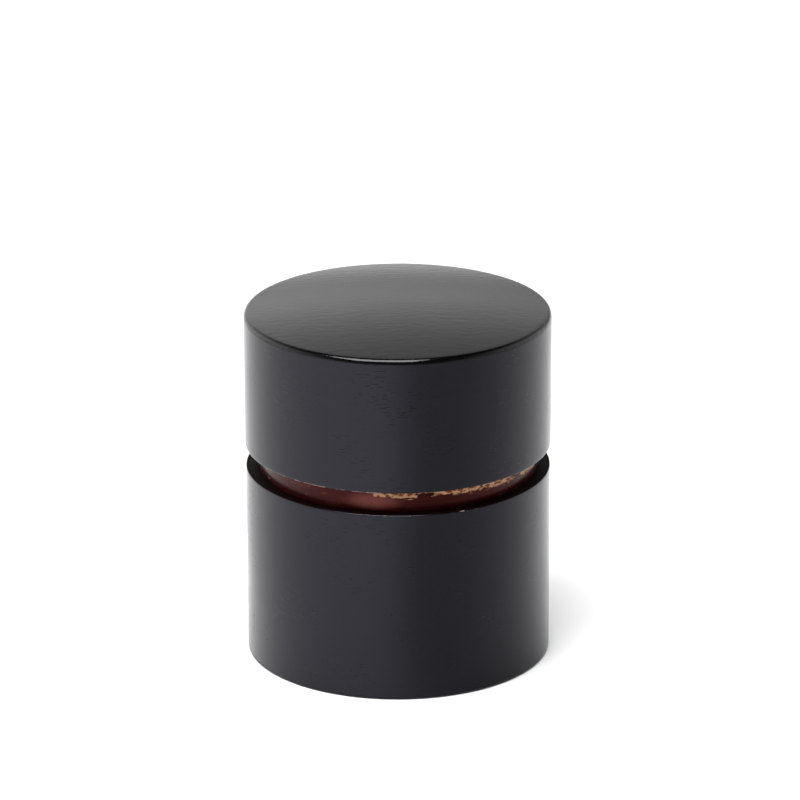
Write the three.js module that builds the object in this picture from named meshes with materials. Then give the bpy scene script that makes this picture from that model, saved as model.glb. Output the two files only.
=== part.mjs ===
// A short round tea caddy of laminated wood and cherry bark, finished outside in black lacquer.
//
// Three assemblies share the Z axis, and the caddy stands on Z = 0:
//   container   an outer wall up to the shoulder, and a bark-covered sleeve that rises past it
//   inner lid   a flanged plug with a turned knob, resting on the sleeve's mouth
//   outer lid   a domed cap that slides over the sleeve, drawn here a little above the shoulder
//
// Every wall is built as the craft builds it: a core of thin wood sheets wrapped round a former,
// glued between a bark lining inside and a bark or lacquered skin outside. Flat lacquered rings
// cover the cut ends of the cores, and boards turned from solid wood close the two ends.
// All sizes are in millimetres.

import * as THREE from "three";

// Driving dimensions
const BODY_RADIUS = 40;
const LID_RADIUS = 40.2; // the lid stands a little proud of the body
const SHOULDER_HEIGHT = 51.1;
const LID_RAISED_BY = 6; // gap between the shoulder and the lid's rim as drawn
const LID_SIDE_HEIGHT = 34.9; // from the lid's rim to where its edge starts to round over
const EDGE_ROUND = 1.3; // rounding between the lid's side and its top
const FOOT_ROUND = 0.5; // rounding under the base's edge
const ARRIS = 0.25; // softened arris at the shoulder
const RIM_ROUND = 0.5; // rounding under the lid's rim
const DOME_RADIUS = 320; // curvature of the lid's top
const SLEEVE_RADIUS = 36.9;
const SLEEVE_RISE = 17.5; // how far the sleeve's mouth stands above the shoulder

// Thicknesses
const SKIN = 0.6; // lacquered bark outside
const BARK = 0.45; // polished bark inside and on the sleeve
const RING = 0.5; // lacquered rings over the cut ends
const GLUE = 0.05; // glue line between two layers
const BOARD = 6; // base board
const LID_BOARD_DEPTH = 5.2; // from the lid's board underneath up to where the edge rounds over
const SLEEVE_CORE = 1.5;
const SLEEVE_FIT = 0.1; // radial clearance between the sleeve and the lid's lining
const PLUG_FIT = 0.15; // radial clearance between the plug and the sleeve's lining
const SEAT_GAP = 0.1; // under the inner lid's flange

// Inner lid
const FLANGE = 2;
const FLANGE_INSET = 0.1; // of the flange's edge from the sleeve's face
const PLUG = 6.5;
const TENON_RADIUS = 3;
const TENON_DEPTH = 4; // how far the knob's tenon reaches into the plug
const KNOB_HEIGHT = 7.4;
const KNOB_DOME = 0.4; // rise of the knob's head above its rounded edge

// Round shapes share one division, so that neighbouring walls stay parallel.
const SEGMENTS = 64;
const DOME_STEPS = 6;
const ROUND_STEPS = 4;
const ARRIS_STEPS = 2;

// Radii and heights that follow
const CORE_RADIUS = BODY_RADIUS - SKIN - GLUE;
const BORE_RADIUS = SLEEVE_RADIUS + GLUE;
const SLEEVE_CORE_RADIUS = SLEEVE_RADIUS - BARK - GLUE;
const LINING_RADIUS = SLEEVE_CORE_RADIUS - SLEEVE_CORE - GLUE;
const MOUTH_RADIUS = LINING_RADIUS - BARK;
const BASE_BOARD_BOTTOM = SKIN + GLUE;
const FLOOR_BARK_BOTTOM = BASE_BOARD_BOTTOM + BOARD + GLUE;
const FLOOR_HEIGHT = FLOOR_BARK_BOTTOM + BARK;
const MOUTH_HEIGHT = SHOULDER_HEIGHT + SLEEVE_RISE;

// Materials, one object per finish
const lacquer = finish(0x0b0b0c, 0.22);
const bark = finish(0x4a1c16, 0.3);
const core = finish(0xb98f5e, 0.7);
const board = finish(0xc9a26c, 0.65);

function finish(color, roughness) {
  return new THREE.MeshStandardMaterial({ color, roughness, metalness: 0 });
}

// Turns an outline of [radius, height] points about Z. The outline runs anticlockwise, seen with
// the axis on the left, and either starts and ends on the axis or is closed here.
function turned(name, material, outline) {
  const points = outline.map(([r, z]) => new THREE.Vector2(r, z));
  const first = points[0];
  const last = points[points.length - 1];
  if (first.x > 0 || last.x > 0) points.push(first.clone());
  const geometry = new THREE.LatheGeometry(points, SEGMENTS).rotateX(Math.PI / 2);
  const mesh = new THREE.Mesh(geometry, material);
  mesh.name = name;
  return mesh;
}

// A tube or flat ring between two radii and two heights.
function ring(name, material, inner, outer, bottom, top) {
  return turned(name, material, [
    [inner, bottom],
    [outer, bottom],
    [outer, top],
    [inner, top],
  ]);
}

function disc(name, material, radius, bottom, top) {
  return turned(name, material, [
    [0, bottom],
    [radius, bottom],
    [radius, top],
    [0, top],
  ]);
}

// Points on a circle in the outline's plane, from one angle to another, in radians.
function arc(centreR, centreZ, radius, from, to, steps) {
  return Array.from({ length: steps + 1 }, (_, i) => {
    const angle = from + ((to - from) * i) / steps;
    return [centreR + radius * Math.cos(angle), centreZ + radius * Math.sin(angle)];
  });
}

// The container: outer wall, base and sleeve.
function container() {
  const group = new THREE.Group();
  group.add(
    turned("base_skin", lacquer, [
      [0, 0],
      ...arc(BODY_RADIUS - FOOT_ROUND, FOOT_ROUND, FOOT_ROUND, -Math.PI / 2, 0, ROUND_STEPS),
      [BODY_RADIUS, SKIN],
      [0, SKIN],
    ]),
    disc("base_board", board, BORE_RADIUS - 2 * GLUE, BASE_BOARD_BOTTOM, BASE_BOARD_BOTTOM + BOARD),
    disc("floor_bark", bark, MOUTH_RADIUS - GLUE, FLOOR_BARK_BOTTOM, FLOOR_HEIGHT),
    ring("body_core_tube", core, BORE_RADIUS, CORE_RADIUS, SKIN + GLUE, SHOULDER_HEIGHT - RING - GLUE),
    bodySkin(),
    ring("shoulder_ring", lacquer, BORE_RADIUS, CORE_RADIUS, SHOULDER_HEIGHT - RING, SHOULDER_HEIGHT),
  );
  group.add(...sleeve());
  return group;
}

function bodySkin() {
  return turned("body_outer_skin", lacquer, [
    [BODY_RADIUS - SKIN, SKIN + GLUE],
    [BODY_RADIUS, SKIN + GLUE],
    ...arc(BODY_RADIUS - ARRIS, SHOULDER_HEIGHT - ARRIS, ARRIS, 0, Math.PI / 2, ARRIS_STEPS),
    [BODY_RADIUS - SKIN, SHOULDER_HEIGHT],
  ]);
}

// The sleeve stands on the base board and closes with a lacquered ring at its mouth.
function sleeve() {
  const bottom = FLOOR_BARK_BOTTOM;
  const top = MOUTH_HEIGHT - RING - GLUE;
  return [
    ring("sleeve_outer_bark", bark, SLEEVE_RADIUS - BARK, SLEEVE_RADIUS, bottom, top),
    ring("sleeve_core_tube", core, SLEEVE_CORE_RADIUS - SLEEVE_CORE, SLEEVE_CORE_RADIUS, bottom, top),
    ring("sleeve_lining", bark, MOUTH_RADIUS, LINING_RADIUS, bottom, top),
    ring("mouth_ring", lacquer, MOUTH_RADIUS, SLEEVE_RADIUS, MOUTH_HEIGHT - RING, MOUTH_HEIGHT),
  ];
}

// The inner lid: a flange on the mouth, a plug below it, and a knob tenoned through both.
function innerLid() {
  const flangeRadius = SLEEVE_RADIUS - FLANGE_INSET;
  const flangeBottom = MOUTH_HEIGHT + SEAT_GAP;
  const flangeTop = flangeBottom + FLANGE;
  const topBark = flangeTop + GLUE;
  const plugTop = flangeBottom - GLUE;
  const plugBottom = plugTop - PLUG;
  const plugRadius = MOUTH_RADIUS - PLUG_FIT;
  const plugCore = plugRadius - BARK - GLUE;
  const hole = TENON_RADIUS + GLUE;
  const tenonBottom = plugTop - TENON_DEPTH;
  const group = new THREE.Group();
  group.add(
    ring("inner_lid_flange", board, hole, flangeRadius - BARK - GLUE, flangeBottom, flangeTop),
    ring("inner_lid_edge_bark", bark, flangeRadius - BARK, flangeRadius, flangeBottom, flangeTop),
    ring("inner_lid_top_bark", bark, hole, flangeRadius, topBark, topBark + BARK),
    turned("inner_lid_plug", board, [
      [0, plugBottom],
      [plugCore, plugBottom],
      [plugCore, plugTop],
      [hole, plugTop],
      [hole, tenonBottom - GLUE],
      [0, tenonBottom - GLUE],
    ]),
    ring("inner_lid_plug_bark", bark, plugRadius - BARK, plugRadius, plugBottom, plugTop),
    disc("inner_lid_under_bark", bark, plugRadius, plugBottom - GLUE - BARK, plugBottom - GLUE),
    knob(topBark + BARK + GLUE, tenonBottom),
  );
  return group;
}

// A low turned knob with a waist to grip and a softly domed head.
function knob(seat, tenonBottom) {
  const footRadius = 7;
  const waistRadius = 5.4;
  const waistHeight = 2.4;
  const headRadius = 8.5;
  const headBottom = 4;
  const headRound = 1.4;
  const shoulder = seat + KNOB_HEIGHT - headRound - KNOB_DOME;
  return turned("inner_lid_knob", board, [
    [0, tenonBottom],
    [TENON_RADIUS, tenonBottom],
    [TENON_RADIUS, seat],
    [footRadius, seat],
    [waistRadius, seat + waistHeight],
    [headRadius, seat + headBottom],
    ...arc(headRadius - headRound, shoulder, headRound, 0, Math.PI / 2, ROUND_STEPS),
    [0, seat + KNOB_HEIGHT],
  ]);
}

// The outer lid: wall layers, a domed board, and one skin over the top and its rounded edge.
function outerLid() {
  const rim = SHOULDER_HEIGHT + LID_RAISED_BY;
  const sideTop = rim + LID_SIDE_HEIGHT;
  const liningRadius = SLEEVE_RADIUS + SLEEVE_FIT;
  const boreRadius = liningRadius + BARK + GLUE;
  const boardBottom = sideTop - LID_BOARD_DEPTH;
  const ceiling = boardBottom - GLUE - BARK;
  const wood = SKIN + GLUE; // depth of the wood below the surface
  const wallBottom = rim + RING + GLUE;
  const cap = capLines(sideTop);
  const group = new THREE.Group();
  group.add(
    turned("lid_top_skin", lacquer, [
      ...cap.dome(SKIN, 0, cap.domeEnd(SKIN), DOME_STEPS),
      ...cap.edge(SKIN),
      ...cap.edge(0).reverse(),
      ...cap.dome(0, 0, cap.domeEnd(0), DOME_STEPS).reverse(),
    ]),
    lidSkin(rim, sideTop - GLUE),
    turned("lid_core_tube", core, [
      [boreRadius, wallBottom],
      [LID_RADIUS - wood, wallBottom],
      ...cap.edge(wood).reverse(),
      ...cap.dome(wood, boreRadius, cap.domeEnd(wood), 1).reverse(),
    ]),
    turned("lid_top_board", board, [
      [0, boardBottom],
      [boreRadius - GLUE, boardBottom],
      ...cap.dome(wood, 0, boreRadius - GLUE, DOME_STEPS).reverse(),
    ]),
    disc("lid_ceiling_bark", bark, boreRadius - GLUE, ceiling, ceiling + BARK),
    ring("lid_lining", bark, liningRadius, liningRadius + BARK, wallBottom, ceiling - GLUE),
    ring("lid_rim_ring", lacquer, liningRadius, LID_RADIUS - wood, rim, rim + RING),
  );
  return group;
}

function lidSkin(bottom, top) {
  return turned("lid_outer_skin", lacquer, [
    [LID_RADIUS - SKIN, bottom],
    ...arc(LID_RADIUS - RIM_ROUND, bottom + RIM_ROUND, RIM_ROUND, -Math.PI / 2, 0, ROUND_STEPS),
    [LID_RADIUS, top],
    [LID_RADIUS - SKIN, top],
  ]);
}

// The lid's top is a shallow dome, and its edge rounds over into the side, both tangent to each
// other. Every layer below the surface follows the same lines at its own depth.
function capLines(sideTop) {
  const roundCentre = LID_RADIUS - EDGE_ROUND;
  const slope = Math.asin(roundCentre / (DOME_RADIUS - EDGE_ROUND)); // where dome meets rounding
  const domeCentre = sideTop - (DOME_RADIUS - EDGE_ROUND) * Math.cos(slope);
  const height = (depth, r) => domeCentre + Math.sqrt((DOME_RADIUS - depth) ** 2 - r ** 2);
  return {
    domeEnd: (depth) => (DOME_RADIUS - depth) * Math.sin(slope),
    dome: (depth, from, to, steps) =>
      Array.from({ length: steps + 1 }, (_, i) => {
        const r = from + ((to - from) * i) / steps;
        return [r, height(depth, r)];
      }),
    // from just past the dome's end, down to the side
    edge: (depth) =>
      arc(roundCentre, sideTop, EDGE_ROUND - depth, Math.PI / 2 - slope, 0, ROUND_STEPS).slice(1),
  };
}

const caddy = new THREE.Group();
caddy.add(container(), innerLid(), outerLid());

export default caddy;
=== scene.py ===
"""A cherry-bark tea caddy, finished outside in black lacquer, with its outer lid drawn up a little.

Sizes are in millimetres and meshes are made in metres, unless a comment says otherwise.
"""

import math

import bpy
import numpy as np
from mathutils import Matrix, Vector


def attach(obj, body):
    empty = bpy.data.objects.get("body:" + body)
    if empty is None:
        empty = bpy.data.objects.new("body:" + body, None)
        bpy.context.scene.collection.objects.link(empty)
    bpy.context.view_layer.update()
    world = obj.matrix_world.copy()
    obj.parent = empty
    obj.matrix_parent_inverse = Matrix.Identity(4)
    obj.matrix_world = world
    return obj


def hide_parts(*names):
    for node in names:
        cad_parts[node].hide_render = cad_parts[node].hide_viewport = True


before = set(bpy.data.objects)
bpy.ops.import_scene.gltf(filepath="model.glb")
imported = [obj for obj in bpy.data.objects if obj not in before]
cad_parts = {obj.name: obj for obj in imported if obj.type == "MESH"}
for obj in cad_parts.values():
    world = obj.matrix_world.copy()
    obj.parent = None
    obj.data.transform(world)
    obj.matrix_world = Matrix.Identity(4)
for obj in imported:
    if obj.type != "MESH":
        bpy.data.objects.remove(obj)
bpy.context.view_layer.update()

MM = 0.001  # metres
MM_PER_METRE = 1000.0

# ---------------------------------------------------------------- sizes, as in the CAD

BODY_R = 40.0
LID_R = 40.2
SHOULDER = 51.1
LID_RIM = 57.1
LID_SIDE_TOP = 92.0
EDGE_ROUND = 1.3
RIM_ROUND = 0.5
FOOT_ROUND = 0.5
ARRIS_ROUND = 0.25
DOME_R = 320.0
SLEEVE_R = 36.9
MOUTH = 68.6

SKIN = 0.6
BARK = 0.45
RING = 0.5
GLUE = 0.05
BASE_BOARD = 6.0
LID_BOARD_DEPTH = 5.2
SLEEVE_CORE = 1.5
SLEEVE_FIT = 0.1
PLUG_FIT = 0.15

FLANGE_GAP = 0.1  # between the mouth and the inner lid's flange, and in from the sleeve's outside
FLANGE = 2.0
PLUG_DEPTH = 6.5
TENON_R = 3.0
TENON_DEPTH = 4.0

KNOB_HEIGHT = 7.4
KNOB_R = 8.5
KNOB_DOME = 0.4
KNOB_ROUND = 1.4
KNOB_LOWER_ROUND = 0.35
KNOB_HEAD_Z = 4.35  # where the head's side begins, above the knob's seat
# The flared foot and the waist: (radius, height above the seat)
KNOB_WAIST = [
    (7.0, 0.0), (6.9, 0.25), (6.2, 1.1), (5.6, 2.0), (5.5, 2.6), (5.9, 3.2), (7.0, 3.7), (8.0, 3.95),
]

CORE_R = BODY_R - SKIN - GLUE
BORE_R = SLEEVE_R + GLUE
SLEEVE_CORE_R = SLEEVE_R - BARK - GLUE
LINING_R = SLEEVE_CORE_R - SLEEVE_CORE - GLUE
MOUTH_R = LINING_R - BARK
BASE_BOARD_Z = SKIN + GLUE
FLOOR_BARK_Z = BASE_BOARD_Z + BASE_BOARD + GLUE
FLOOR_Z = FLOOR_BARK_Z + BARK

# ---------------------------------------------------------------- the meshes' fineness

SEGMENTS = 256  # round the axis
ROUND_STEPS = 7  # points round a small softened edge
LID_EDGE_STEPS = 12  # points round the lid's upper edge
DOME_STEPS = 40
UNDER_DOME_STEPS = 12
KNOB_DOME_STEPS = 8
SHARP_ANGLE = math.radians(38)
END_SLOPE = 0.8  # the part of a face's normal along Z above which it counts as an end

# Longest stretch between two points of a profile
TINY_STEP, FINE_STEP, STEP, BOARD_STEP, CORE_STEP = 0.5, 1.0, 2.0, 4.0, 5.0

# Radius that softens the edges of a ring or a disc
CUT_EDGE, LEDGE_EDGE, SOFT_EDGE, BARK_EDGE, BOARD_EDGE = 0.05, 0.08, 0.1, 0.15, 0.2

# ---------------------------------------------------------------- profiles


def arc(cr, cz, radius, start, end, steps=ROUND_STEPS):
    """Points round a circle in the profile's plane, angles in degrees."""
    angles = np.radians(np.linspace(start, end, steps))
    return [(cr + radius * math.cos(a), cz + radius * math.sin(a)) for a in angles]


def line(a, b, step):
    """Points from a to b, both included, no further apart than step."""
    n = max(1, math.ceil(math.dist(a, b) / step))
    return [(a[0] + (b[0] - a[0]) * i / n, a[1] + (b[1] - a[1]) * i / n) for i in range(n + 1)]


def ring_profile(inner, outer, bottom, top, edge, step=STEP):
    """A closed ring with its four edges softened by a small radius."""
    corners = [
        arc(inner + edge, bottom + edge, edge, 180, 270),
        arc(outer - edge, bottom + edge, edge, 270, 360),
        arc(outer - edge, top - edge, edge, 0, 90),
        arc(inner + edge, top - edge, edge, 90, 180),
    ]
    points = []
    for here, after in zip(corners, corners[1:] + corners[:1]):
        points += here + line(here[-1], after[0], step)[1:-1]
    return points


def disc_profile(radius, bottom, top, edge, step=STEP):
    """A disc from its underside's centre round to its top's centre."""
    low = arc(radius - edge, bottom + edge, edge, 270, 360)
    high = arc(radius - edge, top - edge, edge, 0, 90)
    return (
        line((0, bottom), low[0], step)[:-1]
        + low
        + line(low[-1], high[0], step)[1:-1]
        + high
        + line(high[-1], (0, top), step)[1:]
    )


# ---------------------------------------------------------------- turned meshes


def placed(name, data):
    """A new object in the scene."""
    obj = bpy.data.objects.new(name, data)
    bpy.context.collection.objects.link(obj)
    return obj


def turned(name, profile, body, material, end_material=None):
    """Turns a profile of (radius, height) about Z. It closes on itself or ends on the axis. The
    faces that lie flatter than they stand take end_material, where there is one."""
    closed = profile[0][0] > 0
    verts, rows = [], []
    for r, z in profile:
        count = 1 if math.isclose(r, 0.0, abs_tol=1e-9) else SEGMENTS
        rows.append(range(len(verts), len(verts) + count))
        for i in range(count):
            a = 2 * math.pi * i / count
            verts.append((r * MM * math.cos(a), r * MM * math.sin(a), z * MM))
    faces = []
    for low, high in zip(rows, rows[1:] + (rows[:1] if closed else [])):
        for i in range(SEGMENTS):
            j = (i + 1) % SEGMENTS
            if len(low) == 1:
                faces.append((low[0], high[j], high[i]))
            elif len(high) == 1:
                faces.append((low[i], low[j], high[0]))
            else:
                faces.append((low[i], low[j], high[j], high[i]))
    mesh = bpy.data.meshes.new(name)
    mesh.from_pydata(verts, [], faces)
    mesh.shade_smooth()
    mesh.set_sharp_from_angle(angle=SHARP_ANGLE)
    mesh.materials.append(material)
    if end_material:
        mesh.materials.append(end_material)
        for face in mesh.polygons:
            face.material_index = int(abs(face.normal.z) > END_SLOPE)
    mesh.update()
    obj = placed(name, mesh)
    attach(obj, body)
    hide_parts(name)
    return obj


# ---------------------------------------------------------------- material nodes

WRAP_R = 37.0  # the radius that distances round a wrapped sheet are measured on


class Shader:
    """The node tree of a material or a world, with short calls for the nodes used here."""

    def __init__(self, owner):
        owner.use_nodes = True
        self.owner = owner
        self.tree = owner.node_tree
        self.tree.nodes.clear()
        self.coordinates = self.add("ShaderNodeTexCoord").outputs
        self.point = self.coordinates["Object"]

    def add(self, kind, inputs=(), **settings):
        n = self.tree.nodes.new(kind)
        for key, value in settings.items():
            setattr(n, key, value)
        for key, value in dict(inputs).items():
            socket = n.inputs[key]
            if isinstance(value, bpy.types.NodeSocket):
                self.tree.links.new(value, socket)
            else:
                socket.default_value = (*value, 1.0) if socket.type == "RGBA" else value
        return n

    def math(self, operation, a, b=0.0):
        return self.add("ShaderNodeMath", {0: a, 1: b}, operation=operation).outputs[0]

    def vector(self, operation, a, b=(0.0, 0.0, 0.0)):
        return self.add("ShaderNodeVectorMath", {0: a, 1: b}, operation=operation).outputs[0]

    def scaled(self, vector, scale):
        return self.vector("MULTIPLY", vector, scale)

    def length(self, vector):
        return self.add("ShaderNodeVectorMath", {0: vector}, operation="LENGTH").outputs["Value"]

    def parts(self, vector):
        return self.add("ShaderNodeSeparateXYZ", {0: vector}).outputs

    def noise(self, vector, detail=2.0, roughness=0.5):
        inputs = {"Vector": vector, "Scale": 1.0, "Detail": detail, "Roughness": roughness}
        return self.add("ShaderNodeTexNoise", inputs, noise_dimensions="3D").outputs[0]

    def ramp(self, value, low, high, from_value=0.0, to_value=1.0):
        """A smooth step of value from low to high."""
        inputs = {"Value": value, "From Min": low, "From Max": high}
        inputs |= {"To Min": from_value, "To Max": to_value}
        return self.add("ShaderNodeMapRange", inputs, interpolation_type="SMOOTHSTEP").outputs[0]

    def greys(self, value, stops):
        """Greys by value, straight between stops of (value, grey)."""
        ramp = self.add("ShaderNodeValToRGB", {0: value})
        elements = ramp.color_ramp.elements
        while len(elements) < len(stops):
            elements.new(0.5)
        for element, (position, grey) in zip(elements, stops):
            element.position = position
            element.color = (grey, grey, grey, 1)
        return ramp.outputs[0]

    def mix(self, factor, a, b):
        return self.add("ShaderNodeMix", {"Factor": factor, 6: a, 7: b}, data_type="RGBA").outputs[2]

    def bump(self, height, depth, normal=None):
        """A bump of a depth in metres, on top of another bump's normal where there is one."""
        inputs = {"Height": height, "Distance": depth, "Strength": 1.0}
        if normal is not None:
            inputs["Normal"] = normal
        return self.add("ShaderNodeBump", inputs).outputs[0]

    def from_axis(self):
        """Distance from the caddy's axis, in metres."""
        return self.length(self.scaled(self.point, (1.0, 1.0, 0.0)))

    def from_front(self):
        """Angle round the axis from the front, -Y, towards the right, +X."""
        xyz = self.parts(self.point)
        return self.math("ARCTAN2", xyz[0], self.math("MULTIPLY", xyz[1], -1.0))

    def wrapped(self):
        """Position on a wrapped sheet, in millimetres: round the axis from the front, then up. The
        sheet's two ends meet behind."""
        round_mm = self.math("MULTIPLY", self.from_front(), WRAP_R)
        up_mm = self.math("MULTIPLY", self.parts(self.point)[2], MM_PER_METRE)
        return self.add("ShaderNodeCombineXYZ", {0: round_mm, 1: up_mm}).outputs[0]

    def flat(self):
        """Position on a flat sheet, in millimetres."""
        return self.scaled(self.point, (MM_PER_METRE, MM_PER_METRE, 0.0))

    def sheet(self, kind):
        return self.wrapped() if kind == "wrapped" else self.flat()

    def finish(self, inputs):
        shader = self.add("ShaderNodeBsdfPrincipled", inputs)
        self.add("ShaderNodeOutputMaterial", {"Surface": shader.outputs[0]})
        return self.owner


def new_material(name):
    return Shader(bpy.data.materials.new(name))


# In the material settings below, a GRAIN is a noise's cells per millimetre, along the sheet and
# across it. A RANGE is the two values of a noise between which a mark fades in. A DEPTH is a bump's,
# in metres.

IOR = 1.5

# ---------------------------------------------------------------- lacquer

LACQUER_BLACK = (0.0008, 0.0008, 0.0011)
STREAK_GRAIN = (0.05, 0.5, 0)
FINE_GRAIN = (0.5, 2.4, 0)
FINE_DEPTH = 0.000004
PIT_GRAIN = (0.5, 2.6, 0)
PIT_RANGE = (0.64, 0.76)
PIT_ROUGHNESS = 0.12
PIT_PATCH_GRAIN = (0.09, 0.08, 0)
PIT_PATCH_RANGE = (0.44, 0.64)
PITS_BETWEEN_PATCHES = 0.1  # how strong the pits stay outside their patches
HAZE_GRAIN = (0.05, 0.05, 0)
HAZE_RANGE = (0.3, 0.7)

SIDE_LACQUER = {
    "sheet": "wrapped",
    "ripple_grain": (0.11, 0.48, 0),
    "ripple_depth": 0.00001,
    "streak_depth": 0.000006,
    "pit_depth": 0.000022,
    "roughness": (0.15, 0.21),
    "level": 0.32,
    "tint": (0.85, 0.82, 1.0),
}
TOP_LACQUER = {
    "sheet": "flat",
    "ripple_grain": (0.28, 0.72, 0),
    "ripple_depth": 0.000042,
    "streak_depth": 0.000012,
    "roughness": (0.1, 0.15),
    "level": 0.26,
    "tint": (1.0, 1.0, 1.0),
}

# The pale colour of the rubbed arrises, which also stands in for a painted highlight on them.
WORN_BARK_AND_HIGHLIGHT = (0.27, 0.2, 0.18)
WORN_AND_HIGHLIGHT_ROUGHNESS = 0.3
CHIP_GRAIN = (0.5, 0.2, 0)
CHIP_REACH_RANGE = (0.4, 0.6)
CHIP_LEAST_REACH = 0.1  # of a strip's width
CHIP_BREAK_RANGE = (0.36, 0.42)
STRIP_FADE = (-1.0, 0.6)  # where a strip fades out, from its end

# Where the arrises are rubbed, drawn partly as wear and partly as a painted highlight: the lid's rim at
# the front left, and the shoulder at the front.
# Each strip is (centre round the sheet, half-length, radius and height of the arris, width).
LID_ARRIS = (LID_R - 0.25, LID_RIM)
SHOULDER_ARRIS = (BODY_R, SHOULDER)
WORN_AND_HIGHLIGHT_STRIPS = [
    (-37.0, 0.9, *LID_ARRIS, 0.3),
    (-31.5, 1.4, *LID_ARRIS, 0.3),
    (-22.5, 5.0, *LID_ARRIS, 0.36),
    (-9.5, 5.6, *LID_ARRIS, 0.34),
    (-2.5, 6.0, *SHOULDER_ARRIS, 0.12),
    (16.5, 3.2, *SHOULDER_ARRIS, 0.17),
    (71.0, 4.0, *SHOULDER_ARRIS, 0.24),
    (-92.0, 5.0, *LID_ARRIS, 0.3),
]


def arris_wear_and_highlight(s, at, strips):
    """Thin broken pale lines on an arris: partly rubbed through to the bark, partly a painted highlight.
    """
    along_up = s.parts(at)
    radius = s.math("MULTIPLY", s.from_axis(), MM_PER_METRE)
    chips = s.noise(s.scaled(at, CHIP_GRAIN), detail=3.0, roughness=0.65)
    reach = s.ramp(chips, *CHIP_REACH_RANGE, CHIP_LEAST_REACH, 1.0)
    found = 0.0
    for centre, half, arris_radius, arris_height, width in strips:
        along = s.math("ABSOLUTE", s.math("SUBTRACT", along_up[0], centre))
        inside = s.ramp(along, half + STRIP_FADE[0], half + STRIP_FADE[1], 1.0, 0.0)
        from_arris = s.add("ShaderNodeCombineXYZ", {
            0: s.math("SUBTRACT", radius, arris_radius),
            1: s.math("SUBTRACT", along_up[1], arris_height),
        }).outputs[0]
        rubbed = s.math("LESS_THAN", s.length(from_arris), s.math("MULTIPLY", reach, width))
        found = s.math("MAXIMUM", found, s.math("MULTIPLY", inside, rubbed))
    return s.math("MULTIPLY", found, s.ramp(chips, *CHIP_BREAK_RANGE))


def lacquer(name, sheet, ripple_grain, ripple_depth, streak_depth, roughness, level, tint,
            pit_depth=0.0, strips=()):
    """Black lacquer over bark: fine ripples along the sheet, a faint haze and, where pit_depth
    says so, patches of small pits."""
    s = new_material(name)
    at = s.sheet(sheet)
    base = LACQUER_BLACK
    haze = s.noise(s.scaled(at, HAZE_GRAIN), detail=3.0)
    rough = s.ramp(haze, *HAZE_RANGE, *roughness)
    ripple = s.noise(s.scaled(at, ripple_grain), detail=3.0, roughness=0.55)
    normal = s.bump(ripple, ripple_depth)
    normal = s.bump(s.noise(s.scaled(at, STREAK_GRAIN)), streak_depth, normal)
    normal = s.bump(s.noise(s.scaled(at, FINE_GRAIN), detail=1.0), FINE_DEPTH, normal)
    if pit_depth:
        patch = s.noise(s.scaled(at, PIT_PATCH_GRAIN), detail=1.0)
        patch = s.ramp(patch, *PIT_PATCH_RANGE, PITS_BETWEEN_PATCHES, 1.0)
        pits = s.ramp(s.noise(s.scaled(at, PIT_GRAIN), detail=0.0), *PIT_RANGE)
        pits = s.math("MULTIPLY", pits, patch)
        normal = s.bump(pits, pit_depth, normal)
        rough = s.math("ADD", rough, s.math("MULTIPLY", pits, PIT_ROUGHNESS))
    # Pale lines on the arrises: partly wear through to the bark, partly a painted highlight.
    if strips:
        worn_and_highlight = arris_wear_and_highlight(s, at, strips)
        base = s.mix(worn_and_highlight, base, WORN_BARK_AND_HIGHLIGHT)
        rough = s.math("ADD", rough, s.math("MULTIPLY", worn_and_highlight, WORN_AND_HIGHLIGHT_ROUGHNESS))
    return s.finish({
        "Base Color": base,
        "Roughness": rough,
        "IOR": IOR,
        "Specular IOR Level": level,
        "Specular Tint": tint,
        "Normal": normal,
    })


LEDGE_DARK = (0.0018, 0.0003, 0.0003)
LEDGE_RED = (0.006, 0.0016, 0.0014)
LEDGE_ROUGHNESS = 0.55
LEDGE_LEVEL = 0.03
BRUSH_GRAIN = (0.25, 1.6, 0)
BRUSH_RANGE = (0.35, 0.7)
BRUSH_DEPTH = 0.00003


def ledge_lacquer(name):
    """Dull black lacquer over a cut end, thin enough for the bark's red to show through."""
    s = new_material(name)
    brush = s.noise(s.scaled(s.flat(), BRUSH_GRAIN), detail=4.0, roughness=0.6)
    return s.finish({
        "Base Color": s.mix(s.ramp(brush, *BRUSH_RANGE), LEDGE_DARK, LEDGE_RED),
        "Roughness": LEDGE_ROUGHNESS,
        "IOR": IOR,
        "Specular IOR Level": LEDGE_LEVEL,
        "Normal": s.bump(brush, BRUSH_DEPTH),
    })


# ---------------------------------------------------------------- bark

BARK_DARK = (0.012, 0.0015, 0.0013)
BARK_RED = (0.029, 0.004, 0.0034)
BARK_CLOUD = (0.06, 0.014, 0.01)
# Paler red of the sleeve's clouds, partly the bark's own tone and partly a painted highlight.
BARK_BLUSH_AND_HIGHLIGHT = (0.14, 0.046, 0.042)
BARK_STREAK_GRAIN = (0.05, 0.9, 0)
BARK_STREAK_RANGE = (0.35, 0.65)
BARK_STREAK_DEPTH = 0.00001
BARK_CLOUD_GRAIN = (0.04, 0.1, 0)
BARK_CLOUD_RANGE = (0.5, 0.8)
BARK_ROUGHNESS = 0.22
BARK_LEVEL = 0.23
BARK_TINT = (1.0, 0.27, 0.24)

PORE_PALE = (0.54, 0.325, 0.18)
PORE_BROWN = (0.13, 0.04, 0.013)
PORE_SHADE = (0.1, 0.03, 0.012)
PORE_MOST_SHADE = 0.35
PORE_SHADE_RANGE = (0.4, 0.65)
PORE_GRAIN = (0.22, 2.4, 0)
PORE_RANGE = (0.69, 0.74)
PORE_CELL_GRAIN = (0.62, 1.3, 0)
PORE_CELL_RANGE = (0.4, 0.54)
PORE_SURFACE_GRAIN = (3.0, 6.0, 0)
PORE_DEPTH = 0.00004
PORE_ROUGHNESS = 0.25

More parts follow.
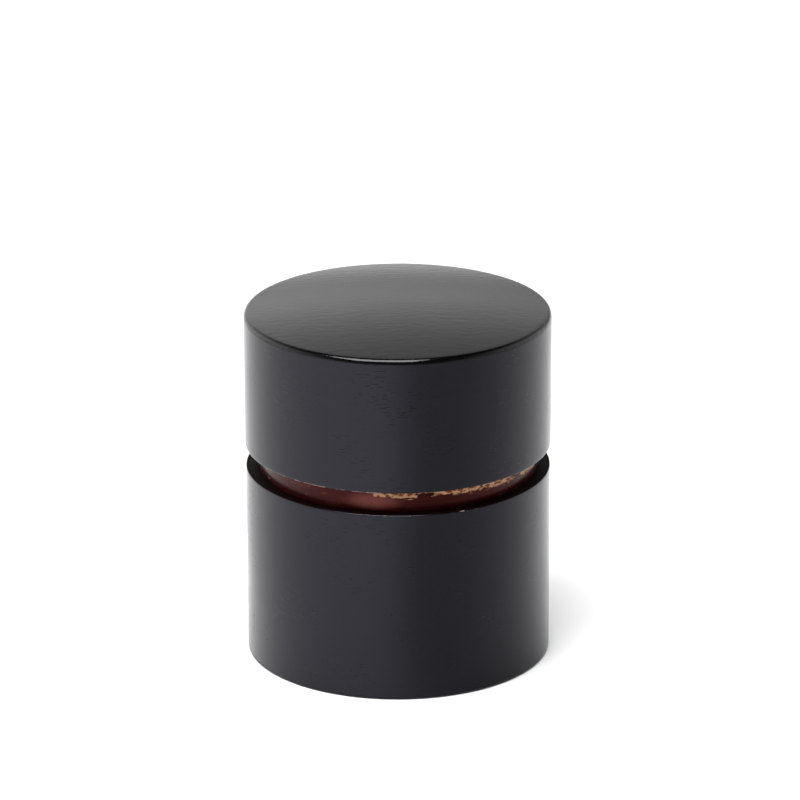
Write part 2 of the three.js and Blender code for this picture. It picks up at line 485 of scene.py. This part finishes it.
FRAY_GRAIN = (0.9, 1.5, 0)
FRAY_MIDDLE = 0.45
FRAY = 2.2
PATCH_TAPER = 2.5  # how much sooner a patch ends at its sides than at its ends
PATCH_RANGE = (0.05, 0.35)
BLUSH_AND_HIGHLIGHT_RANGE = (0.2, 1.0)

# Pale pore patches on the sleeve's bark: (centre round the sheet, half-length, bottom, top)
SLEEVE_PORES = [
    (-0.8, 5.6, 55.0, 56.5),
    (1.4, 3.4, 54.75, 55.6),
    (8.0, 3.0, 55.9, 56.6),
    (12.8, 3.6, 55.0, 56.4),
    (18.8, 4.4, 54.6, 56.6),
    (24.6, 1.4, 55.0, 56.4),
    (30.0, 5.4, 54.1, 56.6),
    (43.0, 5.0, 53.9, 56.4),
    (-10.0, 7.0, 57.3, 58.6),
    (-30.5, 5.5, 58.0, 60.2),
    (62.0, 9.0, 60.5, 62.4),
    (-70.0, 10.0, 52.4, 53.6),
    (-86.0, 8.0, 57.0, 60.2),
    (92.0, 13.0, 53.5, 55.6),
    (8.0, 10.0, 63.6, 64.8),
    (-42.0, 7.0, 64.2, 66.4),
    (28.0, 6.0, 20.0, 22.0),
]

# Redder clouds on the sleeve, partly the bark's own tone and partly a painted highlight (the one at the
# front left): (centre round the sheet, height, half-length, half-height)
SLEEVE_BLUSH_AND_HIGHLIGHT = [
    (-6.5, 53.8, 9.5, 2.9),
    (-62.0, 58.0, 14.0, 5.0),
    (48.0, 60.0, 12.0, 5.0),
    (96.0, 55.0, 10.0, 4.0),
]


def within(s, value, middle, half):
    """1 in the middle, falling straight to 0 at half to either side."""
    off = s.math("ABSOLUTE", s.math("SUBTRACT", value, middle))
    return s.math("SUBTRACT", 1.0, s.math("DIVIDE", off, half))


def pore_patches(s, at, patches):
    """Ragged patches of pale pores, long ways round the sheet."""
    along_up = s.parts(at)
    wander = s.noise(s.scaled(at, FRAY_GRAIN), detail=4.0, roughness=0.65)
    fray = s.math("MULTIPLY", s.math("SUBTRACT", wander, FRAY_MIDDLE), FRAY)
    found = 0.0
    for centre, half, bottom, top in patches:
        along = s.math("MULTIPLY", within(s, along_up[0], centre, half), PATCH_TAPER)
        up = within(s, along_up[1], (bottom + top) / 2, (top - bottom) / 2)
        inside = s.math("ADD", s.math("MINIMUM", along, up), fray)
        found = s.math("MAXIMUM", found, s.math("MAXIMUM", inside, 0.0))
    return s.ramp(found, *PATCH_RANGE)


def blush_and_highlight_patches(s, at, patches):
    """Soft round clouds where the bark is paler and redder: partly its own tone, partly a painted
    highlight.
    """
    found = 0.0
    for centre, height, half_round, half_up in patches:
        offset = s.vector("SUBTRACT", at, (centre, height, 0.0))
        distance = s.length(s.scaled(offset, (1 / half_round, 1 / half_up, 0.0)))
        found = s.math("MAXIMUM", found, s.ramp(distance, *BLUSH_AND_HIGHLIGHT_RANGE, 1.0, 0.0))
    return found


def bark(name, sheet, patches=(), blush_and_highlight=()):
    """Polished cherry bark: red-brown, streaked along the sheet, with rows of pale pores."""
    s = new_material(name)
    at = s.sheet(sheet)
    streak = s.noise(s.scaled(at, BARK_STREAK_GRAIN), detail=4.0, roughness=0.6)
    cloud = s.noise(s.scaled(at, BARK_CLOUD_GRAIN))
    colour = s.mix(s.ramp(streak, *BARK_STREAK_RANGE), BARK_DARK, BARK_RED)
    colour = s.mix(s.ramp(cloud, *BARK_CLOUD_RANGE), colour, BARK_CLOUD)
    # Paler red clouds: partly the bark's own tone, partly a painted highlight.
    if blush_and_highlight:
        colour = s.mix(blush_and_highlight_patches(s, at, blush_and_highlight), colour, BARK_BLUSH_AND_HIGHLIGHT)
    pores = s.ramp(s.noise(s.scaled(at, PORE_GRAIN), roughness=0.6), *PORE_RANGE)
    if patches:
        pores = s.math("MAXIMUM", pores, pore_patches(s, at, patches))
    cells = s.noise(s.scaled(at, PORE_CELL_GRAIN), roughness=0.6)
    surface = s.noise(s.scaled(at, PORE_SURFACE_GRAIN), roughness=0.7)
    tan = s.mix(s.ramp(cells, *PORE_CELL_RANGE), PORE_BROWN, PORE_PALE)
    tan = s.mix(s.ramp(surface, *PORE_SHADE_RANGE, PORE_MOST_SHADE, 0.0), tan, PORE_SHADE)
    normal = s.bump(streak, BARK_STREAK_DEPTH)
    normal = s.bump(s.math("MULTIPLY", pores, surface), PORE_DEPTH, normal)
    return s.finish({
        "Base Color": s.mix(pores, colour, tan),
        "Roughness": s.math("ADD", BARK_ROUGHNESS, s.math("MULTIPLY", pores, PORE_ROUGHNESS)),
        "IOR": IOR,
        "Specular IOR Level": BARK_LEVEL,
        "Specular Tint": BARK_TINT,
        "Normal": normal,
    })


# ---------------------------------------------------------------- wood

# These grains are in cells per metre.
PLY_PALE = (0.58, 0.39, 0.21)
PLY_TAN = (0.4, 0.24, 0.12)
PLY_GLUE = (0.12, 0.06, 0.03)
PLY_SHEETS_PER_METRE = 2200.0
PLY_GLUE_RANGE = (0.86, 0.94)  # the part of a sheet's thickness that is glue
PLY_GRAIN = (300.0, 300.0, 60.0)
PLY_GRAIN_RANGE = (0.35, 0.65)
PLY_DEPTH = 0.00003
PLY_ROUGHNESS = 0.6

WOOD_EARLY = (0.33, 0.15, 0.07)
WOOD_LATE = (0.2, 0.08, 0.038)
WOOD_PORE = (0.09, 0.035, 0.02)
WOOD_RINGS_PER_METRE = 320.0
WOOD_BEND_GRAIN = (25.0, 8.0, 25.0)
WOOD_BEND = 4.0  # rings
WOOD_LATE_RANGE = (0.55, 0.98)
WOOD_PORE_GRAIN = (1500.0, 120.0, 1500.0)
WOOD_PORE_RANGE = (0.62, 0.7)
WOOD_DEPTH = 0.00002
WOOD_ROUGHNESS = 0.38


def plywood(name):
    """The cut ends of thin wood sheets wrapped round a former, with dark glue lines."""
    s = new_material(name)
    layer = s.math("FRACT", s.math("MULTIPLY", s.from_axis(), PLY_SHEETS_PER_METRE))
    grain = s.noise(s.scaled(s.point, PLY_GRAIN), detail=4.0)
    wood = s.mix(s.ramp(grain, *PLY_GRAIN_RANGE), PLY_TAN, PLY_PALE)
    return s.finish({
        "Base Color": s.mix(s.ramp(layer, *PLY_GLUE_RANGE), wood, PLY_GLUE),
        "Roughness": PLY_ROUGHNESS,
        "Normal": s.bump(grain, PLY_DEPTH),
    })


def turned_wood(name):
    """Solid wood off the lathe: rings of grain along Y, fine pores and a waxed sheen."""
    s = new_material(name)
    bend = s.math("MULTIPLY", s.noise(s.scaled(s.point, WOOD_BEND_GRAIN), detail=3.0), WOOD_BEND)
    across = s.math("MULTIPLY", s.parts(s.point)[0], WOOD_RINGS_PER_METRE)
    rings = s.math("FRACT", s.math("ADD", across, bend))
    pore = s.noise(s.scaled(s.point, WOOD_PORE_GRAIN))
    colour = s.mix(s.ramp(rings, *WOOD_LATE_RANGE), WOOD_EARLY, WOOD_LATE)
    return s.finish({
        "Base Color": s.mix(s.ramp(pore, *WOOD_PORE_RANGE), colour, WOOD_PORE),
        "Roughness": WOOD_ROUGHNESS,
        "Normal": s.bump(pore, WOOD_DEPTH),
    })


side_lacquer = lacquer("side_lacquer", **SIDE_LACQUER, strips=WORN_AND_HIGHLIGHT_STRIPS)
top_lacquer = lacquer("top_lacquer", **TOP_LACQUER)
sleeve_bark = bark("sleeve_bark", "wrapped", SLEEVE_PORES, SLEEVE_BLUSH_AND_HIGHLIGHT)
wrapped_bark = bark("wrapped_bark", "wrapped")
flat_bark = bark("flat_bark", "flat")
rim_lacquer = ledge_lacquer("rim_lacquer")
core_wood = plywood("core_wood")
board_wood = turned_wood("board_wood")

# ---------------------------------------------------------------- the container


def container():
    base = (
        line((0, 0), (BODY_R - FOOT_ROUND, 0), STEP)[:-1]
        + arc(BODY_R - FOOT_ROUND, FOOT_ROUND, FOOT_ROUND, 270, 360)
        + [(BODY_R, SKIN)]
        + line((BODY_R, SKIN), (0, SKIN), BOARD_STEP)[1:]
    )
    turned("base_skin", base, "container", side_lacquer, top_lacquer)
    turned(
        "base_board",
        disc_profile(BORE_R - 2 * GLUE, BASE_BOARD_Z, BASE_BOARD_Z + BASE_BOARD, BOARD_EDGE, BOARD_STEP),
        "container", board_wood,
    )
    turned(
        "floor_bark",
        disc_profile(MOUTH_R - GLUE, FLOOR_BARK_Z, FLOOR_Z, SOFT_EDGE, BOARD_STEP),
        "container", flat_bark,
    )
    turned(
        "body_core_tube",
        ring_profile(BORE_R, CORE_R, SKIN + GLUE, SHOULDER - RING - GLUE, CUT_EDGE, CORE_STEP),
        "container", core_wood,
    )
    inside, bottom = BODY_R - SKIN, SKIN + GLUE
    skin = (
        line((inside, bottom), (BODY_R, bottom), FINE_STEP)
        + line((BODY_R, bottom), (BODY_R, SHOULDER - ARRIS_ROUND), FINE_STEP)[1:-1]
        + arc(BODY_R - ARRIS_ROUND, SHOULDER - ARRIS_ROUND, ARRIS_ROUND, 0, 90)
        + [(inside, SHOULDER)]
        + line((inside, SHOULDER), (inside, bottom), CORE_STEP)[1:-1]
    )
    turned("body_outer_skin", skin, "container", side_lacquer, rim_lacquer)
    turned(
        "shoulder_ring",
        ring_profile(BORE_R, CORE_R, SHOULDER - RING, SHOULDER, LEDGE_EDGE),
        "container", rim_lacquer,
    )
    low, high = FLOOR_BARK_Z, MOUTH - RING - GLUE
    turned(
        "sleeve_outer_bark",
        ring_profile(SLEEVE_R - BARK, SLEEVE_R, low, high, CUT_EDGE, FINE_STEP),
        "container", sleeve_bark,
    )
    turned(
        "sleeve_core_tube",
        ring_profile(SLEEVE_CORE_R - SLEEVE_CORE, SLEEVE_CORE_R, low, high, CUT_EDGE, CORE_STEP),
        "container", core_wood,
    )
    turned(
        "sleeve_lining",
        ring_profile(MOUTH_R, LINING_R, low, high, CUT_EDGE),
        "container", wrapped_bark,
    )
    turned(
        "mouth_ring",
        ring_profile(MOUTH_R, SLEEVE_R, MOUTH - RING, MOUTH, BARK_EDGE),
        "container", rim_lacquer,
    )


# ---------------------------------------------------------------- the inner lid


def inner_lid():
    flange_r, flange_z = SLEEVE_R - FLANGE_GAP, MOUTH + FLANGE_GAP
    flange_top = flange_z + FLANGE
    plug_top = flange_z - GLUE
    plug_bottom = plug_top - PLUG_DEPTH
    plug_r = MOUTH_R - PLUG_FIT
    plug_core = plug_r - BARK - GLUE
    hole = TENON_R + GLUE
    tenon_bottom = plug_top - TENON_DEPTH
    top = flange_top + GLUE
    turned(
        "inner_lid_flange",
        ring_profile(hole, flange_r - BARK - GLUE, flange_z, flange_top, SOFT_EDGE),
        "inner_lid", board_wood,
    )
    turned(
        "inner_lid_edge_bark",
        ring_profile(flange_r - BARK, flange_r, flange_z, flange_top, CUT_EDGE, TINY_STEP),
        "inner_lid", wrapped_bark,
    )
    turned(
        "inner_lid_top_bark",
        ring_profile(hole, flange_r, top, top + BARK, BARK_EDGE),
        "inner_lid", flat_bark,
    )
    plug = (
        line((0, plug_bottom), (plug_core, plug_bottom), BOARD_STEP)
        + line((plug_core, plug_bottom), (plug_core, plug_top), STEP)[1:]
        + line((plug_core, plug_top), (hole, plug_top), BOARD_STEP)[1:]
        + [(hole, tenon_bottom - GLUE), (0, tenon_bottom - GLUE)]
    )
    turned("inner_lid_plug", plug, "inner_lid", board_wood)
    turned(
        "inner_lid_plug_bark",
        ring_profile(plug_r - BARK, plug_r, plug_bottom, plug_top, CUT_EDGE),
        "inner_lid", wrapped_bark,
    )
    turned(
        "inner_lid_under_bark",
        disc_profile(plug_r, plug_bottom - GLUE - BARK, plug_bottom - GLUE, BARK_EDGE),
        "inner_lid", flat_bark,
    )
    knob(top + BARK + GLUE, tenon_bottom)


def knob(seat, tenon_bottom):
    """A low knob: a flared foot, a waist to grip and a softly domed head."""
    edge = KNOB_R - KNOB_ROUND
    shoulder = seat + KNOB_HEIGHT - KNOB_ROUND - KNOB_DOME
    profile = (
        [(0, tenon_bottom), (TENON_R, tenon_bottom), (TENON_R, seat)]
        + [(r, seat + z) for r, z in KNOB_WAIST]
        + arc(KNOB_R - KNOB_LOWER_ROUND, seat + KNOB_HEAD_Z, KNOB_LOWER_ROUND, 270, 360)
        + arc(edge, shoulder, KNOB_ROUND, 0, 90)
    )
    for r in np.linspace(edge, 0, KNOB_DOME_STEPS + 1)[1:]:
        profile.append((r, seat + KNOB_HEIGHT - KNOB_DOME * (r / edge) ** 2))
    turned("inner_lid_knob", profile, "inner_lid", board_wood)


# ---------------------------------------------------------------- the outer lid


def dome_lines():
    """The lid's top and its rounded edge, at any depth below the surface."""
    centre_r = LID_R - EDGE_ROUND
    slope = math.asin(centre_r / (DOME_R - EDGE_ROUND))
    centre_z = LID_SIDE_TOP - (DOME_R - EDGE_ROUND) * math.cos(slope)

    def dome(depth, start, end, steps):
        radii = np.linspace(start, end, steps)
        return [(r, centre_z + math.sqrt((DOME_R - depth) ** 2 - r * r)) for r in radii]

    def edge(depth):
        start = 90 - math.degrees(slope)
        return arc(centre_r, LID_SIDE_TOP, EDGE_ROUND - depth, start, 0, LID_EDGE_STEPS)

    def end(depth):
        return (DOME_R - depth) * math.sin(slope)

    return dome, edge, end


def outer_lid():
    lining = SLEEVE_R + SLEEVE_FIT
    bore = lining + BARK + GLUE
    board_z = LID_SIDE_TOP - LID_BOARD_DEPTH
    ceiling = board_z - GLUE - BARK
    wood = SKIN + GLUE
    wall_z = LID_RIM + RING + GLUE
    dome, edge, end = dome_lines()
    top = (
        dome(SKIN, 0, end(SKIN), UNDER_DOME_STEPS)
        + edge(SKIN)[1:]
        + edge(0)[::-1]
        + dome(0, 0, end(0), DOME_STEPS)[::-1][1:]
    )
    turned("lid_top_skin", top, "outer_lid", top_lacquer)
    inside, side_top = LID_R - SKIN, LID_SIDE_TOP - GLUE
    skin = (
        [(inside, LID_RIM)]
        + arc(LID_R - RIM_ROUND, LID_RIM + RIM_ROUND, RIM_ROUND, 270, 360)
        + line((LID_R, LID_RIM + RIM_ROUND), (LID_R, side_top), FINE_STEP)[1:]
        + line((inside, side_top), (inside, LID_RIM), CORE_STEP)[:-1]
    )
    turned("lid_outer_skin", skin, "outer_lid", side_lacquer)
    core = (
        line((bore, wall_z), (LID_R - wood, wall_z), FINE_STEP)
        + edge(wood)[::-1]
        + dome(wood, bore, end(wood), 3)[::-1][1:]
    )
    turned("lid_core_tube", core, "outer_lid", core_wood)
    board = (
        line((0, board_z), (bore - GLUE, board_z), BOARD_STEP)
        + dome(wood, 0, bore - GLUE, UNDER_DOME_STEPS)[::-1]
    )
    turned("lid_top_board", board, "outer_lid", board_wood)
    turned(
        "lid_ceiling_bark",
        disc_profile(bore - GLUE, ceiling, ceiling + BARK, SOFT_EDGE, BOARD_STEP),
        "outer_lid", flat_bark,
    )
    turned(
        "lid_lining",
        ring_profile(lining, lining + BARK, wall_z, ceiling - GLUE, CUT_EDGE),
        "outer_lid", wrapped_bark,
    )
    turned(
        "lid_rim_ring",
        ring_profile(lining, LID_R - wood, LID_RIM, LID_RIM + RING, SOFT_EDGE),
        "outer_lid", rim_lacquer,
    )


container()
inner_lid()
outer_lid()

# ---------------------------------------------------------------- camera

TARGET = Vector((0.56, 0.0, 68.34)) * MM
DISTANCE = 1.3  # metres
ELEVATION = math.radians(19.61)
ROLL = math.radians(-0.16)
LENS = 223.0
SENSOR = 36.0
CLIP_START = 0.05  # metres

camera = placed("camera", bpy.data.cameras.new("camera"))
camera.data.lens = LENS
camera.data.sensor_width = SENSOR
camera.data.clip_start = CLIP_START
camera.location = TARGET + DISTANCE * Vector((0, -math.cos(ELEVATION), math.sin(ELEVATION)))
look = (TARGET - camera.location).to_track_quat("-Z", "Y").to_matrix()
camera.rotation_mode = "QUATERNION"
camera.rotation_quaternion = (look @ Matrix.Rotation(ROLL, 3, "Z")).to_quaternion()
bpy.context.scene.camera = camera

# ---------------------------------------------------------------- floor and light, in metres

FLOOR_HALF = 6.0
FLOOR_GREY = (0.84, 0.84, 0.84)
FLOOR_ROUGHNESS = 0.9
FLOOR_LEVEL = 0.1
FLOOR_GLOW_RANGE = (0.45, 1.2)  # distances from the caddy
FLOOR_GLOW = 0.9
WHITE, BLACK = (1.0, 1.0, 1.0), (0.0, 0.0, 0.0)

FLAG_RADII = (0.0405, 3.0)
FLAG_HEIGHT = 0.0004
FLAG_COLUMNS = 120
# How much of the floor the flag covers, by direction from the caddy: (degrees right of front, part)
FLAG_STOPS = [
    (-20, 0.0), (-8, 0.06), (0, 0.21), (8, 0.39), (16, 0.48), (26, 0.52), (40, 0.5),
    (56, 0.43), (72, 0.32), (90, 0.17), (110, 0.03), (125, 0.0),
]
FAR_RANGE = (0.4, 0.62)  # where the far cover in front begins
FAR_SIDES = (math.radians(25), math.radians(60))
FAR_COVER = 0.85

# The surround's brightness by the sine of the height above the horizon
SKY_STOPS = [
    (0.0, 1.3), (0.06, 1.26), (0.11, 1.14), (0.16, 0.8), (0.21, 0.8), (0.29, 1.24), (0.36, 1.12),
    (0.45, 0.86), (0.58, 0.66), (0.75, 0.14), (0.9, 0.04),
]
# How the surround changes from front to back and from left to right, by the direction's part
# along Y or X: (from, to, strength at the first, strength at the second)
SKY_BEHIND = (-0.7, 0.3, 0.12, 1.0)
SKY_ACROSS = (-0.26, 0.26, 1.26, 0.66)
SKY_LEFT = (-0.8, -0.45, 0.8, 0.0)
SKY_RIGHT = (0.45, 0.8, 0.0, 0.8)


def plain_floor():
    """A pale floor that glows more away from the caddy: painted light standing in for a lit sweep."""
    s = new_material("pale_floor")
    mesh = bpy.data.meshes.new("floor")
    corners = [(x * FLOOR_HALF, y * FLOOR_HALF, 0) for x, y in ((-1, -1), (1, -1), (1, 1), (-1, 1))]
    mesh.from_pydata(corners, [], [(0, 1, 2, 3)])
    mesh.materials.append(s.finish({
        "Base Color": FLOOR_GREY,
        "Roughness": FLOOR_ROUGHNESS,
        "Specular IOR Level": FLOOR_LEVEL,
        # Painted light: the floor glows, more the further it lies from the caddy.
        "Emission Color": WHITE,
        "Emission Strength": s.ramp(s.from_axis(), *FLOOR_GLOW_RANGE, 0.0, FLOOR_GLOW),
    }))
    placed("floor", mesh)


def floor_flag():
    """A dark card on the floor at the front right, and another across the front further out, as a
    studio hangs to deepen a reflection. Only the reflections see them, and their edges are soft."""
    verts = [
        (r * math.sin(a), -r * math.cos(a), FLAG_HEIGHT)
        for r in FLAG_RADII
        for a in np.linspace(-math.pi, math.pi, FLAG_COLUMNS, endpoint=False)
    ]
    faces = []
    for i in range(FLAG_COLUMNS):
        j = (i + 1) % FLAG_COLUMNS
        faces.append((i, j, FLAG_COLUMNS + j, FLAG_COLUMNS + i))
    mesh = bpy.data.meshes.new("flag")
    mesh.from_pydata(verts, [], faces)
    s = new_material("flag_black")
    angle = s.from_front()
    turn = s.math("ADD", s.math("DIVIDE", angle, 2 * math.pi), 0.5)
    near = s.greys(turn, [(degrees / 360 + 0.5, cover) for degrees, cover in FLAG_STOPS])
    ahead = s.ramp(s.math("ABSOLUTE", angle), *FAR_SIDES, FAR_COVER, 0.0)
    far = s.math("MULTIPLY", s.ramp(s.from_axis(), *FAR_RANGE), ahead)
    clear = s.add("ShaderNodeBsdfTransparent").outputs[0]
    black = s.add("ShaderNodeBsdfDiffuse", {"Color": BLACK}).outputs[0]
    both = s.add("ShaderNodeMixShader", {0: s.math("MAXIMUM", near, far), 1: clear, 2: black})
    s.add("ShaderNodeOutputMaterial", {"Surface": both.outputs[0]})
    mesh.materials.append(s.owner)
    flag = placed("flag", mesh)
    flag.visible_camera = flag.visible_diffuse = False
    flag.visible_shadow = flag.visible_transmission = False


def soft_world():
    """A pale surround, dim overhead and in front, brighter to both sides and most to the left."""
    s = Shader(bpy.data.worlds.new("surround"))
    xyz = s.parts(s.coordinates["Generated"])
    sides = s.math("ADD", s.ramp(xyz[0], *SKY_LEFT), s.ramp(xyz[0], *SKY_RIGHT))
    across = s.math("ADD", s.ramp(xyz[0], *SKY_ACROSS), sides)
    strength = s.math("MULTIPLY", s.ramp(xyz[1], *SKY_BEHIND), across)
    background = s.add("ShaderNodeBackground", {0: s.greys(xyz[2], SKY_STOPS), 1: strength})
    s.add("ShaderNodeOutputWorld", {0: background.outputs[0]})
    bpy.context.scene.world = s.owner


def area_light(name, location, target, size, radiance):
    """A softbox of a stated radiance, facing its target."""
    data = bpy.data.lights.new(name, "AREA")
    data.shape = "RECTANGLE"
    data.size, data.size_y = size
    data.energy = radiance * math.pi * size[0] * size[1]
    light = placed(name, data)
    light.location = location
    light.rotation_mode = "QUATERNION"
    light.rotation_quaternion = (Vector(target) - Vector(location)).to_track_quat("-Z", "Y")
    return light


plain_floor()
floor_flag()
soft_world()
area_light("key", (-0.17, -0.36, 1.0), (-0.17, -0.36, 0), size=(0.72, 0.74), radiance=12.4)
back = area_light("back", (0.0, 1.7, 1.2), (0.0, 1.2, 0), size=(1.6, 0.8), radiance=5.0)
back.visible_glossy = False

bpy.context.scene.view_settings.view_transform = "Standard"
